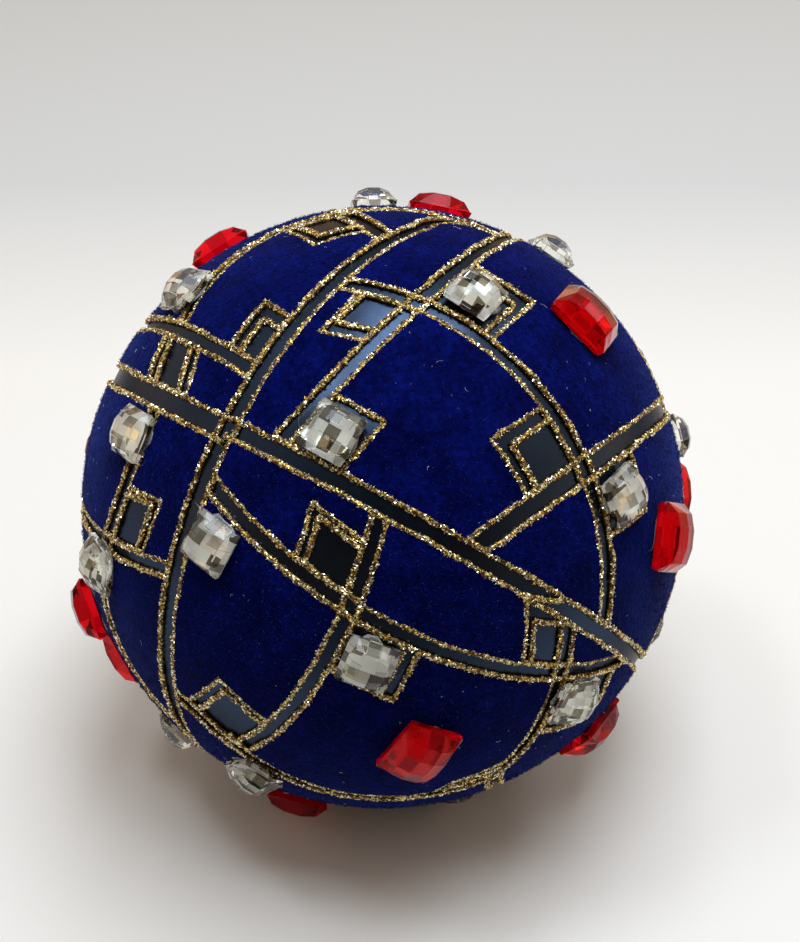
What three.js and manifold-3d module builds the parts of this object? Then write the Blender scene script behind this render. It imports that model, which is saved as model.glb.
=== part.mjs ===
// A velvet ornament ball set with square and oblong cut stones, in millimetres, +Z up.
// The ball rests on a small flat spot, and the origin is the centre of that spot.
import * as THREE from 'three';
import { ConvexGeometry } from 'three/addons/geometries/ConvexGeometry.js';
import { mergeVertices } from 'three/addons/utils/BufferGeometryUtils.js';
import Module from 'manifold-3d';

const wasm = await Module();
wasm.setup();

// Driving dimensions of the ball
const LACQUER_BALL_DIAMETER = 100;
const VELVET_THICKNESS = 0.6;
const FLAT_SPOT_RADIUS = 7;
const BALL_FACETING = 12;

const BALL_RADIUS = LACQUER_BALL_DIAMETER / 2 + VELVET_THICKNESS;
const BALL_CENTRE_HEIGHT = Math.sqrt(BALL_RADIUS ** 2 - FLAT_SPOT_RADIUS ** 2);

// Driving dimensions of the stones. Each section of a stone is a rectangle with cut corners,
// given as a share of the girdle and a height above the back face.
const STONE_SEAT = 0.3;
const CLEAR_STONE = {
  width: 7.8,
  depth: 7.8,
  sections: [
    { share: 0.92, height: 0, corner: 0.5 },
    { share: 1, height: 1.0, corner: 0.6 },
    { share: 0.68, height: 2.8, corner: 0.5 },
    { share: 0.27, height: 3.6, corner: 0.3 },
  ],
};
const RED_STONE = {
  width: 11.0,
  depth: 9.2,
  sections: [
    { share: 0.92, height: 0, corner: 0.5 },
    { share: 1, height: 1.2, corner: 0.6 },
    { share: 0.72, height: 3.5, corner: 0.5 },
    { share: 0.27, height: 4.3, corner: 0.3 },
  ],
};

// The stones lie around the point of the ball that faces a viewer at this height above the level,
// or around the point opposite it. right and up are degrees of arc from that point, seen from
// outside, and turn is the stone's own turn about the way it faces.
const VIEW_ELEVATION = 35;

const CLEAR_FRONT = [
  { right: -3, up: 90.5, turn: 7 },
  { right: -43, up: 47, turn: 64 },
  { right: 17, up: 38.7, turn: 53 },
  { right: 48.6, up: 73.4, turn: 67 },
  { right: -48.3, up: 14, turn: 65 },
  { right: -8.2, up: 11.8, turn: 60 },
  { right: -29.3, up: -6.3, turn: 57 },
  { right: -60.5, up: -12.5, turn: 62 },
  { right: 44.8, up: 2.1, turn: 32 },
  { right: 91.3, up: 22, turn: 15 },
  { right: 91.9, up: -41.9, turn: 56 },
  { right: -2.6, up: -26.3, turn: 69 },
  { right: -62, up: -69.3, turn: 65 },
  { right: -29, up: -60, turn: 42 },
  { right: 38.1, up: -38.9, turn: 81 },
  { right: 25.5, up: -97.5, turn: 44 },
  { right: -100, up: 20.5, turn: 79 },
];
const RED_FRONT = [
  { right: 17.6, up: 93.3, turn: -8 },
  { right: -50, up: 79, turn: 32 },
  { right: 40.6, up: 37.5, turn: -44 },
  { right: 60.5, up: -6.6, turn: 84 },
  { right: -83, up: -29.2, turn: 109 },
  { right: 6.7, up: -45.4, turn: 62 },
  { right: -26.5, up: -90.2, turn: -16 },
  { right: 62.9, up: -67.2, turn: 3 },
  { right: 101.4, up: 5.3, turn: 93 },
];
const CLEAR_BACK = [
  { right: -34, up: -6, turn: 25 },
  { right: -43, up: 25, turn: 6 },
  { right: -28, up: 44, turn: 87 },
  { right: 21, up: 37, turn: 88 },
  { right: 6, up: 14, turn: 13 },
  { right: 38, up: -20, turn: 22 },
  { right: 62, up: 22, turn: 39 },
  { right: -45, up: -16, turn: 36 },
  { right: -33, up: -37, turn: 27 },
  { right: 3, up: -26.5, turn: 44 },
  { right: -67, up: 39, turn: 70 },
];
const RED_BACK = [
  { right: -9, up: 38, turn: 20 },
  { right: 42, up: 6, turn: -35 },
  { right: -50, up: 8, turn: 75 },
  { right: 70, up: -40, turn: 60 },
  { right: 17, up: -8, turn: -30 },
  { right: -12, up: 65, turn: 5 },
  { right: 46, up: 38, turn: 50 },
];

// Materials
const velvetMaterial = () => new THREE.MeshStandardMaterial({ color: 0x14206e, roughness: 0.95, metalness: 0 });
const clearMaterial = () => new THREE.MeshStandardMaterial({ color: 0xd5d8cf, roughness: 0.08, metalness: 0 });
const redMaterial = () => new THREE.MeshStandardMaterial({ color: 0xb8101c, roughness: 0.08, metalness: 0 });

function toSolid(geometry) {
  const bare = geometry.clone();
  bare.deleteAttribute('normal');
  bare.deleteAttribute('uv');
  const merged = mergeVertices(bare);
  return new wasm.Manifold(new wasm.Mesh({
    numProp: 3,
    vertProperties: new Float32Array(merged.attributes.position.array),
    triVerts: new Uint32Array(merged.index.array),
  }));
}

function toGeometry(solid) {
  const mesh = solid.getMesh();
  const geometry = new THREE.BufferGeometry();
  geometry.setAttribute('position', new THREE.BufferAttribute(new Float32Array(mesh.vertProperties), 3));
  geometry.setIndex(new THREE.BufferAttribute(new Uint32Array(mesh.triVerts), 1));
  geometry.computeVertexNormals();
  return geometry;
}

// The velvet ball around the origin, with its flat spot cut off below
function ballGeometry() {
  const ball = new THREE.IcosahedronGeometry(BALL_RADIUS, BALL_FACETING);
  const below = new THREE.BoxGeometry(2 * BALL_RADIUS, 2 * BALL_RADIUS, BALL_RADIUS);
  below.translate(0, 0, -BALL_CENTRE_HEIGHT - BALL_RADIUS / 2);
  return toGeometry(toSolid(ball).subtract(toSolid(below)));
}

// A cut stone whose back face lies in z = 0 and whose table faces +Z
function stoneGeometry(stone) {
  const points = [];
  for (const { share, height, corner } of stone.sections) {
    const x = (stone.width / 2) * share;
    const y = (stone.depth / 2) * share;
    for (const [sideX, sideY] of [[1, 1], [-1, 1], [-1, -1], [1, -1]]) {
      points.push(new THREE.Vector3(sideX * x, sideY * (y - corner), height));
      points.push(new THREE.Vector3(sideX * (x - corner), sideY * y, height));
    }
  }
  return new ConvexGeometry(points);
}

// Puts a stone on the ball, inside a group whose +Z is the facing direction
function seatStone(mesh, { right, up, turn }) {
  const away = THREE.MathUtils.degToRad(Math.hypot(right, up));
  const around = Math.atan2(up, right);
  const facing = new THREE.Vector3(
    Math.sin(away) * Math.cos(around),
    Math.sin(away) * Math.sin(around),
    Math.cos(away),
  );
  mesh.quaternion.setFromUnitVectors(new THREE.Vector3(0, 0, 1), facing);
  mesh.rotateZ(THREE.MathUtils.degToRad(turn));
  mesh.position.copy(facing).multiplyScalar(BALL_RADIUS + STONE_SEAT);
}

function addStones(group, rows, stone, material, name, firstNumber) {
  rows.forEach((row, index) => {
    const mesh = new THREE.Mesh(stoneGeometry(stone), material());
    mesh.name = `${name}_${String(firstNumber + index).padStart(2, '0')}`;
    seatStone(mesh, row);
    group.add(mesh);
  });
}

const group = new THREE.Group();
const centred = new THREE.Group();
centred.position.z = BALL_CENTRE_HEIGHT;
group.add(centred);

const ball = new THREE.Mesh(ballGeometry(), velvetMaterial());
ball.name = 'ball';
centred.add(ball);

// The front group's +Z looks at the viewer, and the back group is the same turned half round
const front = new THREE.Group();
front.rotation.x = THREE.MathUtils.degToRad(90 - VIEW_ELEVATION);
centred.add(front);
const back = new THREE.Group();
back.rotation.y = Math.PI;
front.add(back);

addStones(front, CLEAR_FRONT, CLEAR_STONE, clearMaterial, 'clear_stone', 1);
addStones(back, CLEAR_BACK, CLEAR_STONE, clearMaterial, 'clear_stone', 1 + CLEAR_FRONT.length);
addStones(front, RED_FRONT, RED_STONE, redMaterial, 'red_stone', 1);
addStones(back, RED_BACK, RED_STONE, redMaterial, 'red_stone', 1 + RED_FRONT.length);

export default group;
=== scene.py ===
"""A velvet covered ball with lacquer bands, glitter lines and glued stones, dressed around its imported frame."""

import math
from collections import namedtuple

import bmesh
import bpy
import numpy as np
from mathutils import Matrix, Vector, noise


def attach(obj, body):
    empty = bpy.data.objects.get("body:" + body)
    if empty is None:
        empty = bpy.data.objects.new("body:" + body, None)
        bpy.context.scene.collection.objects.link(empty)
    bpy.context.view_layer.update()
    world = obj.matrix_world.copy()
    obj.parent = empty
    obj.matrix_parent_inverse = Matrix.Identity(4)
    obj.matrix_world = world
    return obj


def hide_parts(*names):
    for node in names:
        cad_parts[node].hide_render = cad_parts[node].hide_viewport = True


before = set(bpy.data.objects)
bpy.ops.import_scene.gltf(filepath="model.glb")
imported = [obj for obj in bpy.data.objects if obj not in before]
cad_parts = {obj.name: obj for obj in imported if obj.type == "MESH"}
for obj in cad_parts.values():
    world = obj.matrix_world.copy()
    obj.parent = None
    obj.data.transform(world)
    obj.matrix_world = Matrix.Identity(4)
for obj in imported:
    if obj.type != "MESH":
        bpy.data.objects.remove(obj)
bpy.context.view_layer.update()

bl_info = {
    "name": "Velvet ornament ball",
    "version": (1, 0, 0),
    "blender": (4, 5, 0),
    "location": "View3D > Sidebar > Ornament",
    "description": "Dresses a lacquered ball with velvet patches, glitter lines and glued stones",
    "category": "Object",
}

MM = 0.001

# ------------------------------------------------------------------ the ball and the way it is seen

VELVET_RADIUS = 50.6 * MM
LACQUER_RADIUS = 50.0 * MM
FLAT_SPOT_RADIUS = 7.0 * MM
VELVET_FOOT = LACQUER_RADIUS - 0.02 * MM
VELVET_GAP = 0.22 * MM  # between a glitter line's middle and the velvet's cut edge
CENTRE = Vector((0, 0, math.sqrt(VELVET_RADIUS**2 - FLAT_SPOT_RADIUS**2)))
VIEW_PITCH = math.radians(35.0)
VIEW_RIGHT = Vector((1, 0, 0))
VIEW_UP = Vector((0, math.sin(VIEW_PITCH), math.cos(VIEW_PITCH)))
VIEW_TOWARD = Vector((0, -math.cos(VIEW_PITCH), math.sin(VIEW_PITCH)))
WINDOW_REACH = math.radians(25.0)  # no window reaches further than this from its bands' crossing
NEAR_END = 0.06  # the share of a band from its end where it still lies beside the band that it stops on

# ------------------------------------------------------------------ the pattern
# Each band is a piece of a small circle on the ball. Its ends are (right, up) degrees about the point that faces
# the camera (face 1) or about the point behind it (face -1); bow is how far its middle bulges to the left of its
# way, in degrees, and width the distance between the middles of its two glitter lines, in millimetres.
# starts_on and stops_on name the band whose edge it ends at.

Band = namedtuple("Band", "name face start end bow width starts_on stops_on", defaults=(None, None))
BANDS = [
    Band(*row)
    for row in (
        ("A1", 1, (-48.9, -60.8), (-28.0, 12.0), -1.4, 3.1),
        ("A2", 1, (-27.8, 11.8), (8.8, 61.7), -0.1, 3.0),
        ("A3", 1, (8.8, 61.7), (28.1, 64.1), 3.9, 2.8, None, "C"),
        ("B1", 1, (-71.7, 35.3), (-27.0, 13.0), -0.1, 3.6),
        ("B2", 1, (-26.8, 13.8), (73.0, -45.5), 3.5, 2.9),
        ("C", 1, (-18.3, 9.7), (39.5, 78.0), -6.1, 2.6, "B2", None),
        ("D", 1, (-9.6, 42.0), (43.0, -24.0), 11.3, 2.7, "A2", "B2"),
        ("E", 1, (83.0, 29.5), (14.4, -7.3), -4.2, 3.4, None, "B2"),
        ("F", 1, (-31.2, 5.6), (56.5, -32.7), -9.0, 2.7, "A1", "B2"),
        ("G", 1, (0.0, 0.5), (-31.5, -52.3), 5.1, 2.5, "B2", "P1"),
        ("H", 1, (34.1, -18.9), (25.2, -60.6), 1.6, 2.4, "B2", None),
        ("P1", 1, (-45.8, -37.4), (-31.6, -52.1), 0.4, 2.6, "A1", None),
        ("P2", 1, (-33.7, -48.6), (26.8, -60.4), -6.9, 2.6),
        ("I1", 1, (-43.4, 20.8), (-58.7, -7.0), 2.1, 2.8, "B1", None),
        ("I2", 1, (-58.2, -7.2), (-48.8, -52.4), -7.3, 2.8, None, "A1"),
        ("J", 1, (-79.4, 0.5), (-38.5, -12.2), -0.5, 2.5, None, "A1"),
        ("K", 1, (-64.6, 48.0), (-22.0, 23.2), 0.5, 2.6, None, "A2"),
        ("L", 1, (-44.6, 38.0), (-47.4, 23.2), 0.0, 2.4, "K", "B1"),
        ("M", 1, (-42.1, 36.7), (13.0, 71.5), 9.0, 2.6, "K", "A3"),
        ("N", 1, (-9.5, 70.5), (1.2, 54.2), 0.0, 3.2, "M", "A2"),
        ("C_back", -1, (-40.1, 83.0), (-25.0, -13.0), 4.0, 3.0),
        ("A_back", -1, (-25.0, -13.0), (63.9, -79.4), 9.0, 3.1),
        ("B3", -1, (89.8, 44.2), (-25.0, -13.0), -1.0, 3.4),
        ("B4", -1, (-25.0, -13.0), (-79.8, -49.7), 1.0, 3.1),
        ("E2", -1, (-86.6, 30.8), (-36.0, 31.0), -1.0, 3.4, None, "C_back"),
        ("K2", -1, (79.6, 59.2), (-37.0, 52.0), 31.2, 2.6, None, "C_back"),
        ("T", -1, (13.8, 103.4), (13.0, 6.0), -3.0, 2.6, "M", "B3"),
        ("J2", -1, (100.6, 0.6), (1.0, -38.0), -22.1, 2.6, None, "A_back"),
        ("U", -1, (70.0, 34.5), (80.0, 2.0), 3.0, 2.4, "B3", "J2"),
        ("V", -1, (-60.0, 32.0), (-50.0, -30.0), -5.8, 2.6, "E2", "B4"),
        ("W", -1, (46.0, -10.0), (47.0, -65.0), 2.0, 2.5, "J2", "A_back"),
        ("S", -1, (-42.0, 78.0), (-88.0, -50.0), 3.8, 2.8, "C_back", "B4"),
        ("H2", -1, (-45.1, -106.1), (-45.0, -25.5), -14.2, 2.5, None, "B4"),
        ("D2", -1, (-31.0, 12.0), (34.0, 17.0), 11.0, 2.7, "C_back", "B3"),
    )
]

# Each window is a lacquered corner beside two bands. outer and inner are how far its two L shaped glitter lines
# reach from the bands' crossing along the first band and along the second, in millimetres; an inner of None has no
# second line. until names the band that the window runs down to in place of its own far side.

Window = namedtuple("Window", "face first second outer inner until", defaults=(None,))
WINDOWS = [
    Window(*row)
    for row in (
        (1, "C", "D", (-10.9, -8.5), (-8.3, -7.6)),
        (1, "C", "D", (13.1, 12.0), (9.9, 10.4)),
        (1, "D", "E", (-11.2, 12.3), (-9.0, 9.9)),
        (1, "D", "E", (11.8, -10.6), None),
        (1, "F", "G", (-11.1, -10.1), (-9.3, -8.8)),
        (1, "F", "G", (11.4, 10.2), (9.2, 9.5)),
        (1, "F", "H", (-8.9, -12.4), (-6.9, -8.6)),
        (1, "F", "H", (13.0, 12.0), None),
        (1, "G", "P1", (-11.6, -12.0), (-10.5, -9.8)),
        (1, "I1", "J", (-12.2, 7.9), (-10.8, 6.6)),
        (1, "K", "L", (10.5, 13.0), (8.0, 13.0), "B1"),
        (1, "A2", "K", (10.2, -7.8), (7.7, -5.4)),
        (1, "M", "N", (-10.5, 14.1), (-8.2, 10.6)),
        (1, "E", "S", (10.5, -11.5), (8.2, -9.0)),
        (1, "B2", "C", (9.7, 11.3), None),
        (1, "H", "P2", (-8.0, -12.0), (-5.5, -9.5)),
        (-1, "C_back", "B3", (-11.0, -10.0), (-9.0, -8.0)),
        (-1, "C_back", "B4", (-12.0, 12.0), (-9.8, 9.8)),
        (-1, "T", "K2", (-10.0, 9.0), (-7.8, 7.0)),
        (-1, "T", "K2", (11.5, -11.5), None),
        (-1, "C_back", "E2", (11.5, -11.5), (9.0, -9.0)),
        (-1, "C_back", "K2", (11.0, -11.0), None),
        (-1, "J2", "W", (11.0, 11.0), (8.8, 8.8)),
        (-1, "J2", "W", (11.0, -11.5), None),
        (-1, "B4", "H2", (-9.0, -12.0), (-7.0, -9.5)),
    )
]


def heading(right, up, face):
    """The unit direction from the ball's centre that lies (right, up) degrees from the facing point."""
    away, turn = math.radians(math.hypot(right, up)), math.atan2(up, right)
    return (
        face * math.sin(away) * math.cos(turn) * VIEW_RIGHT
        + math.sin(away) * math.sin(turn) * VIEW_UP
        + face * math.cos(away) * VIEW_TOWARD
    )


Ring = namedtuple("Ring", "axis level")  # the circle of unit directions whose product with axis is level


def meeting(one, other, near):
    """The place nearest to near where two rings cross."""
    u = one.axis.cross(other.axis)
    base = (one.level * other.axis.cross(u) + other.level * u.cross(one.axis)) / u.length_squared
    rise = u * math.sqrt(max(0.0, 1 - base.length_squared) / u.length_squared)
    return max((base + rise, base - rise), key=lambda p: p.dot(near))


class Way:
    """The middle line of a band, with the rings of its two edges."""

    def __init__(self, band):
        self.band = band
        start, end = heading(*band.start, band.face), heading(*band.end, band.face)
        side = start.cross(end).normalized()
        bow = math.radians(band.bow)
        middle = math.cos(bow) * (start + end).normalized() + math.sin(bow) * side
        axis = (middle - start).cross(end - start).normalized()
        self.axis = axis if axis.dot(side) > 0 else -axis
        self.level = self.axis.dot(start)
        self.across = (start - self.axis * self.level).normalized()
        self.along = self.axis.cross(self.across)
        self.start, self.end = start, end
        self.sweep = self.turn_of(end) % math.tau
        self.half_width = band.width * MM / 2 / LACQUER_RADIUS

    def turn_of(self, p):
        return math.atan2(p.dot(self.along), p.dot(self.across))

    def turns_of(self, heads):
        """How far round its ring, from the band's start, each row of heads lies."""
        turn = np.arctan2(heads @ np.array(self.along), heads @ np.array(self.across))
        return np.where(turn < (self.sweep - math.tau) / 2, turn + math.tau, turn)

    def ring(self, offset=0.0):
        """The ring that runs beside the middle line, offset radians to its left."""
        return Ring(self.axis, math.cos(math.acos(self.level) - offset))

    def at(self, share):
        turn, radius = share * self.sweep, math.sqrt(1 - self.level**2)
        return self.axis * self.level + radius * (math.cos(turn) * self.across + math.sin(turn) * self.along)

    def tangent(self, p):
        return self.axis.cross(p).normalized()

    def side_of(self, p):
        return 1 if math.acos(self.level) > math.acos(max(-1, min(1, self.axis.dot(p)))) else -1

    def edge_towards(self, p, gap=0.0):
        return self.ring(self.side_of(p) * (self.half_width + gap))


WAYS = {band.name: Way(band) for band in BANDS}

Line = namedtuple("Line", "ring start angle")  # a glitter line: it turns from start about the ring's axis by angle


def line_between(ring, start, end):
    centre = ring.axis * ring.level
    a, b = start - centre, end - centre
    return Line(ring, start, math.atan2(ring.axis.dot(a.cross(b)), a.dot(b)))


def band_lines(way):
    """The two glitter lines along a band, each ending at the near edge of what the band stops on."""
    band, found = way.band, []
    for side in (1, -1):
        ring = way.ring(side * way.half_width)
        stop = Ring(way.start.cross(way.axis).normalized(), 0.0)
        if band.starts_on:
            stop = WAYS[band.starts_on].edge_towards(way.at(NEAR_END))
        start = meeting(ring, stop, way.start)
        last = way.sweep
        if band.stops_on:
            last = way.turn_of(meeting(ring, WAYS[band.stops_on].edge_towards(way.at(1 - NEAR_END)), way.end))
            last += math.tau * round((way.sweep - last) / math.tau)
        found.append(Line(ring, start, last - way.turn_of(start)))
    return found


class Corner:
    """One L of a window: its far corner, and the rings through it that run along the two bands."""

    def __init__(self, window, reach):
        self.window = window
        self.first, self.second = WAYS[window.first], WAYS[window.second]
        self.crossing = meeting(self.first.ring(), self.second.ring(), meant_crossing(self.first, self.second))
        step = (
            reach[0] * self.first.tangent(self.crossing) + reach[1] * self.second.tangent(self.crossing)
        ) * (MM / LACQUER_RADIUS)
        size = step.length
        self.far = math.cos(size) * self.crossing + math.sin(size) * step / size
        self.beside_first = Ring(self.first.axis, self.first.axis.dot(self.far))
        self.beside_second = Ring(self.second.axis, self.second.axis.dot(self.far))
        self.sides = ((self.first, self.beside_first), (self.second, self.beside_second))

    def lines(self):
        on_second = meeting(self.beside_first, self.second.edge_towards(self.far), self.far)
        on_first = meeting(self.beside_second, self.first.edge_towards(self.far), self.far)
        if self.window.until:
            below = WAYS[self.window.until].edge_towards(self.crossing)
            return [line_between(self.beside_second, on_first, meeting(self.beside_second, below, self.far))]
        return [
            line_between(self.beside_first, on_second, self.far),
            line_between(self.beside_second, self.far, on_first),
        ]


def meant_crossing(first, second):
    """Where two bands that cross twice are meant to cross: the nearest approach of their drawn lengths."""
    steps = [i / 40 for i in range(41)]
    pairs = ((first.at(a), second.at(b)) for a in steps for b in steps)
    return max(pairs, key=lambda pair: pair[0].dot(pair[1]))[0]


def all_lines():
    lines = [line for way in WAYS.values() for line in band_lines(way)]
    for window in WINDOWS:
        lines += Corner(window, window.outer).lines()
        if window.inner:
            lines += Corner(window, window.inner).lines()
    return lines


def as_array(vectors):
    return np.array([tuple(v) for v in vectors], float).reshape(-1, 3)


def unit(rows):
    return rows / np.linalg.norm(rows, axis=-1, keepdims=True)


def away_from(axis, heads):
    """The angle between the axis and each row of heads."""
    return np.arccos(np.clip(heads @ np.array(axis), -1, 1))


def is_bare(heads, gap):
    """Which of the unit directions lie on a band or in a window, or within gap metres of its edge."""
    gap = gap / LACQUER_RADIUS
    bare = np.zeros(len(heads), bool)
    for way in WAYS.values():
        near = np.abs(away_from(way.axis, heads) - math.acos(way.level)) < way.half_width + gap
        turn = way.turns_of(heads)
        bare |= near & (turn > 0) & (turn < way.sweep)
    for window in WINDOWS:
        corner = Corner(window, window.outer)
        inside = heads @ np.array(corner.crossing) > math.cos(WINDOW_REACH)
        sides = corner.sides
        if window.until:
            for way, known in ((corner.first, corner.far), (WAYS[window.until], corner.crossing)):
                toward = way.axis.dot(known) - way.level
                inside &= (heads @ np.array(way.axis) - way.level) * toward > 0
            sides = sides[1:]
        for way, ring in sides:
            there, here, far = away_from(way.axis, heads), math.acos(way.level), math.acos(ring.level)
            low, high = min(here, far), max(here, far)
            inside &= (there > low - (gap if far < here else 0)) & (there < high + (gap if far > here else 0))
        bare |= inside
    return bare


# ------------------------------------------------------------------ small tools


def new_piece(name, mesh, slot, *materials, smooth=False):
    """Puts a finished mesh in the scene, riding on the ball's body, with its materials; slot is not used."""
    piece = bpy.data.objects.new(name, mesh)
    bpy.context.scene.collection.objects.link(piece)
    for material in materials:
        mesh.materials.append(material)
    mesh.polygons.foreach_set("use_smooth", np.full(len(mesh.polygons), smooth))
    mesh.update()
    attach(piece, "root")
    return piece


def mesh_of(bm, name):
    mesh = bpy.data.meshes.new(name)
    bm.to_mesh(mesh)
    bm.free()
    return mesh


def add_part(whole, part):
    """Moves a finished part into a bigger mesh, which is quicker than making it there."""
    mesh = mesh_of(part, "part")
    whole.from_mesh(mesh)
    bpy.data.meshes.remove(mesh)


def joined_copies(name, seed, axes, places, marks=None, facet_marks=None):
    """One mesh with a copy of the seed at each place. axes holds each copy's three axes as rows, marks one value a
    copy for each named attribute, and facet_marks what draws one value for each facet of every copy."""
    seed.verts.index_update()
    shape = as_array([v.co for v in seed.verts])
    corners = np.array([v.index for f in seed.faces for v in f.verts])
    sizes = np.array([len(f.verts) for f in seed.faces])
    slots = np.array([f.material_index for f in seed.faces])
    count = len(places)
    points = np.einsum("vk,nkj->nvj", shape, axes) + places[:, None, :]
    mesh = bpy.data.meshes.new(name)
    mesh.vertices.add(count * len(shape))
    mesh.vertices.foreach_set("co", points.ravel())
    mesh.loops.add(count * len(corners))
    mesh.loops.foreach_set("vertex_index", (corners + np.arange(count)[:, None] * len(shape)).ravel())
    mesh.polygons.add(count * len(sizes))
    starts = np.concatenate([[0], np.cumsum(sizes)[:-1]])
    mesh.polygons.foreach_set("loop_start", (starts + np.arange(count)[:, None] * len(corners)).ravel())
    mesh.polygons.foreach_set("material_index", np.tile(slots, count))
    mesh.update(calc_edges=True)
    for key, values in (marks or {}).items():
        layer = mesh.attributes.new(key, "FLOAT", "POINT")
        layer.data.foreach_set("value", np.repeat(values, len(shape)).astype(np.float32))
    for key, values in (facet_marks or {}).items():
        layer = mesh.attributes.new(key, "FLOAT", "FACE")
        layer.data.foreach_set("value", values(count * len(sizes)).astype(np.float32))
    mesh.validate()
    return mesh


def centred(heads, radius):
    return heads * radius + np.array(CENTRE)


def set_on_ball(bm):
    """Moves what was made about the origin to the ball's centre, and presses what would pass the floor flat."""
    bmesh.ops.translate(bm, verts=bm.verts[:], vec=CENTRE)
    for v in bm.verts:
        v.co.z = max(v.co.z, 0.0)


# ------------------------------------------------------------------ finishes


def colour(red, green, blue):
    return (red, green, blue, 1.0)


def brighter(tint, times, plus=0.0):
    return colour(*(min(1, times * c + plus) for c in tint[:3]))


class Nodes:
    """Short ways to add and link nodes in one tree."""

    def __init__(self, tree):
        self.tree = tree

    def add(self, kind, **settings):
        node = self.tree.nodes.new(kind if kind.startswith("NodeGroup") else "ShaderNode" + kind)
        for key, value in settings.items():
            setattr(node, key, value)
        return node

    def fill(self, place, value):
        """Links an input to another node's output, or sets it to a plain value."""
        if isinstance(value, bpy.types.NodeSocket):
            self.tree.links.new(value, place)
        else:
            place.default_value = value

    def put(self, node, **values):
        for key, value in values.items():
            self.fill(node.inputs[key.replace("_", " ")], value)
        return node

    def product(self, one, other):
        node = self.add("Math", operation="MULTIPLY")
        self.fill(node.inputs[0], one)
        self.fill(node.inputs[1], other)
        return node.outputs[0]

    def spread(self, value, low, high, to_low=0.0, to_high=1.0):
        """The value, stretched so that low becomes to_low and high becomes to_high, and held between these."""
        node = self.add("MapRange", clamp=True)
        self.put(node, Value=value, From_Min=low, From_Max=high, To_Min=to_low, To_Max=to_high)
        return node.outputs["Result"]

    def mix(self, share, one, other, blend="MIX"):
        node = self.add("Mix", data_type="RGBA", blend_type=blend)
        for place, value in zip((node.inputs[0], node.inputs[6], node.inputs[7]), (share, one, other)):
            self.fill(place, value)
        return node.outputs[2]

    def ramp(self, value, stops):
        node = self.add("ValToRGB")
        marks = node.color_ramp.elements
        while len(marks) < len(stops):
            marks.new(0.5)
        for mark, (place, tint) in zip(marks, stops):
            mark.position, mark.color = place, tint
        self.put(node, Fac=value)
        return node.outputs["Color"]

    def noise(self, where, scale, detail, roughness):
        node = self.add("TexNoise")
        self.put(node, Vector=where, Scale=scale, Detail=detail, Roughness=roughness)
        return node.outputs["Fac"]

    def bump(self, height, distance, strength):
        return self.put(self.add("Bump"), Height=height, Distance=distance, Strength=strength).outputs["Normal"]

    def tone(self):
        """The value that each fibre, flake or facet was given with its shape."""
        return self.add("Attribute", attribute_name="tone").outputs["Fac"]

    def mottle(self, where, scale, dark, light):
        node = self.add("Group", node_tree=mottle_effect())
        return self.put(node, Where=where, Scale=scale, Dark=dark, Light=light).outputs["Color"]

    def grain(self, where, scale):
        """The outputs Height and Mask of a fine grain."""
        return self.put(self.add("Group", node_tree=grain_effect()), Where=where, Scale=scale).outputs


def effect(name, inputs, outputs, build):
    """A named node group, made once: build gets its tree's helper, the values given to it, and its output node."""
    group = bpy.data.node_groups.get(name)
    if group:
        return group
    group = bpy.data.node_groups.new(name, "ShaderNodeTree")
    for label, kind, value in inputs:
        made = group.interface.new_socket(name=label, in_out="INPUT", socket_type="NodeSocket" + kind)
        if value is not None:
            made.default_value = value
    for label, kind in outputs:
        group.interface.new_socket(name=label, in_out="OUTPUT", socket_type="NodeSocket" + kind)
    n = Nodes(group)
    build(n, n.add("NodeGroupInput").outputs, n.add("NodeGroupOutput"))
    return group


def mottle_effect():
    """Soft cloudy change between two colours over the surface."""

    def build(n, given, out):
        share = n.spread(n.noise(given["Where"], given["Scale"], 3.0, 0.5), 0.35, 0.65)
        n.put(out, Color=n.mix(share, given["Dark"], given["Light"]))

    inputs = (
        ("Where", "Vector", None),
        ("Scale", "Float", 100.0),
        ("Dark", "Color", colour(0, 0, 0)),
        ("Light", "Color", colour(1, 1, 1)),
    )
    return effect("Cloudy mottle", inputs, (("Color", "Color"),), build)


def grain_effect():
    """Fine grain: a height for bumps and a mask for roughness."""

    def build(n, given, out):
        grain = n.noise(given["Where"], given["Scale"], 4.0, 0.6)
        n.put(out, Height=grain, Mask=n.spread(grain, 0.3, 0.7))

    inputs = (("Where", "Vector", None), ("Scale", "Float", 1000.0))
    return effect("Fine grain", inputs, (("Height", "Float"), ("Mask", "Float")), build)


def finish_of(name, build):
    """A named material, made once: build gets its tree's helper, its shader and its Object coordinates."""
    material = bpy.data.materials.get(name)
    if material:
        return material
    material = bpy.data.materials.new(name)
    material.use_nodes = True
    n = Nodes(material.node_tree)
    build(n, material.node_tree.nodes["Principled BSDF"], n.add("TexCoord").outputs["Object"])
    return material


def velvet_finish(name, with_pale_fibres_and_sheen):
    def build(n, shader, where):
        looks = bpy.context.scene.ornament_looks
        broad = n.mottle(where, 180.0, colour(*looks.velvet_deep), colour(*looks.velvet_lit))
        curls = n.mottle(where, 1100.0, colour(0.55, 0.55, 0.6), colour(1.5, 1.5, 1.35))
        tinted = n.mix(1.0, broad, curls, "MULTIPLY")
        if with_pale_fibres_and_sheen:
            # pale fibres by random tone; their whitish colour is partly painted sheen
            tinted = n.mix(n.tone(), tinted, colour(*looks.pale_fibre_and_sheen))
        n.put(
            shader,
            Base_Color=tinted,
            Roughness=0.85,
            Specular_IOR_Level=0.02,
            Sheen_Weight=looks.velvet_sheen,
            Sheen_Roughness=0.35,
            Sheen_Tint=colour(0.15, 0.24, 1.0),
            Normal=n.bump(n.grain(where, 1600.0)["Height"], 0.25 * MM, 0.8),
        )

    return finish_of(name, build)


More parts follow.
